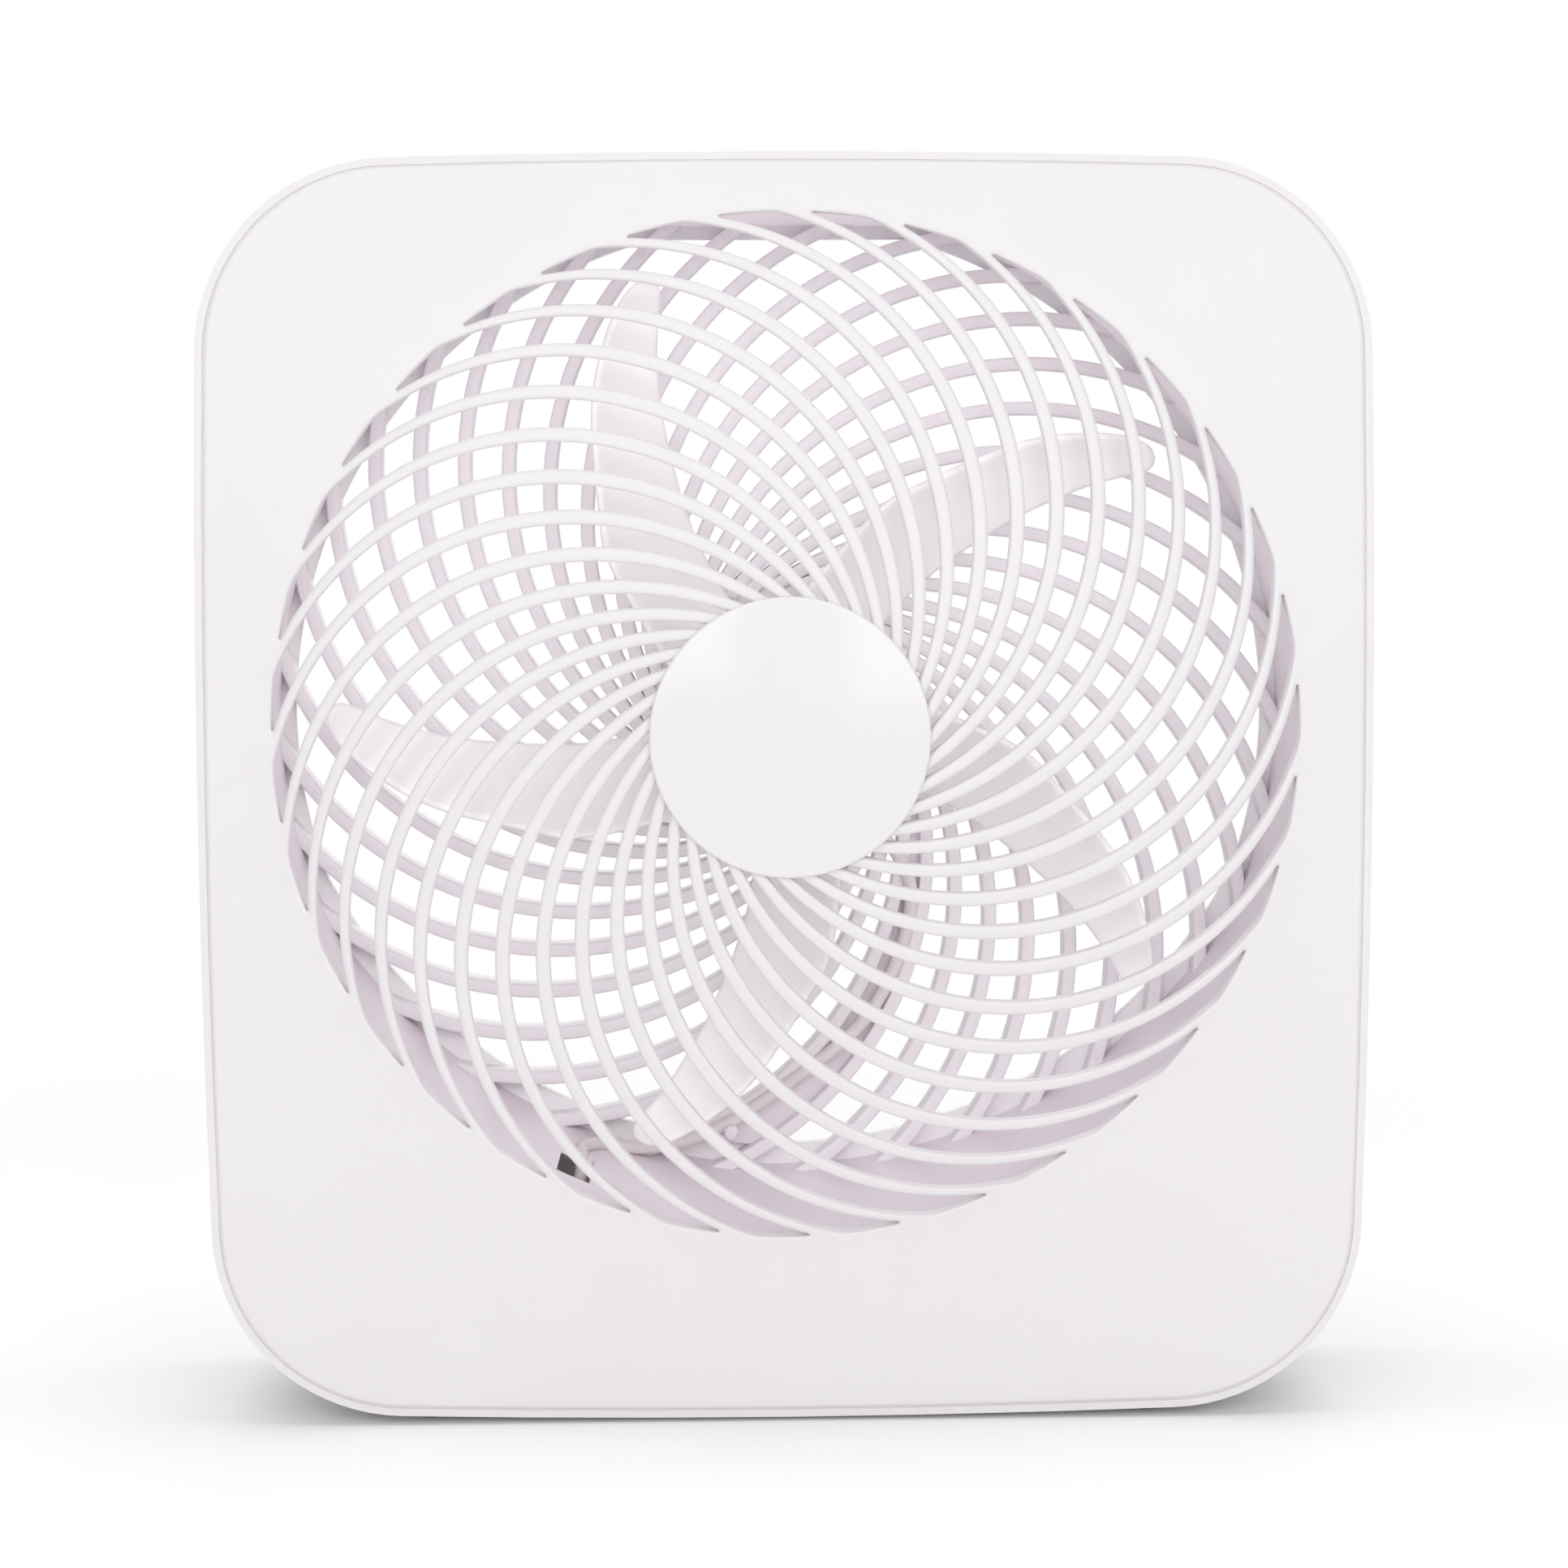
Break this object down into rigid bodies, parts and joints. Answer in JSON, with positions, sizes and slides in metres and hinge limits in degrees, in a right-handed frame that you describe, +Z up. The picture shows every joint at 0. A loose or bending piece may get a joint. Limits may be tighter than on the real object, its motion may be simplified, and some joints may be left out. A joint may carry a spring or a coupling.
{
  "type": "box fan",
  "caption": "Free-standing box fan: round-cornered casing, domed front grille of spiral ribs with a bare hub cap, swept impeller in a round duct and an opposed spiral rear grille.",
  "frame": {"origin": "centre of the footprint at floor level, under the feet", "axes": "+Z up, +X to the right as seen from the front, the grille faces -Y and air leaves towards -Y"},
  "size_m": [0.3688, 0.1142, 0.4],
  "materials": {
    "panel_plastic": "smooth satin white",
    "cap_plastic": "polished white",
    "casing_plastic": "smooth satin white",
    "blade_plastic": "smooth satin white",
    "steel": "zinc plated",
    "magnet": "dark sintered",
    "motor_steel": "pale zinc coat",
    "bronze": "oiled sintered bronze",
    "laminations": "stacked sheet",
    "copper": "enamelled wire",
    "board": "green solder resist",
    "black_plastic": "moulded black",
    "black_gloss": "polished black",
    "brass": "bright",
    "plug_plastic": "natural nylon",
    "capacitor": "sleeved can",
    "lead_sleeve": "cream sleeve",
    "wire_sleeve": "grey sleeve",
    "foot_rubber": "moulded rubber"
  },
  "bodies": {
    "casing": {"front_panel": "panel_plastic", "hub_cap": "cap_plastic", "rear_casing": "casing_plastic", "duct_ring": "casing_plastic", "rear_grille": "casing_plastic", "motor_housing": "motor_steel", "motor_end_cap": "motor_steel", "front_bush": "bronze", "rear_bush": "bronze", "stator_core": "laminations", "stator_coils": "copper", "motor_board": "board", "motor_screws": "steel", "panel_screws": "steel", "switch_body": "black_plastic", "switch_terminals": "brass", "power_inlet": "black_plastic", "inlet_pin": "brass", "inlet_nut": "steel", "driver_board": "board", "board_plugs": "plug_plastic", "board_capacitor": "capacitor", "board_screws": "steel", "motor_lead": "lead_sleeve", "inlet_lead": "wire_sleeve", "switch_lead": "wire_sleeve", "foot_front_left": "foot_rubber", "foot_front_right": "foot_rubber", "foot_rear_left": "foot_rubber", "foot_rear_right": "foot_rubber"},
    "rotor": {"impeller": "blade_plastic", "shaft": "steel", "hub_washer": "steel", "hub_nut": "steel", "rotor_magnet": "magnet"},
    "rocker": {"switch_rocker": "black_gloss"}
  },
  "joints": [
    {"name": "impeller_spin", "type": "hinge", "parent": "casing", "child": "rotor", "pos_m": [0, 0.0201, 0.221], "axis": [0, 1, 0], "continuous": true},
    {"name": "switch_rock", "type": "hinge", "parent": "casing", "child": "rocker", "pos_m": [0.034, 0.0496, 0.029], "axis": [0, 0, 1], "range_deg": [0, 16]}
  ]
}
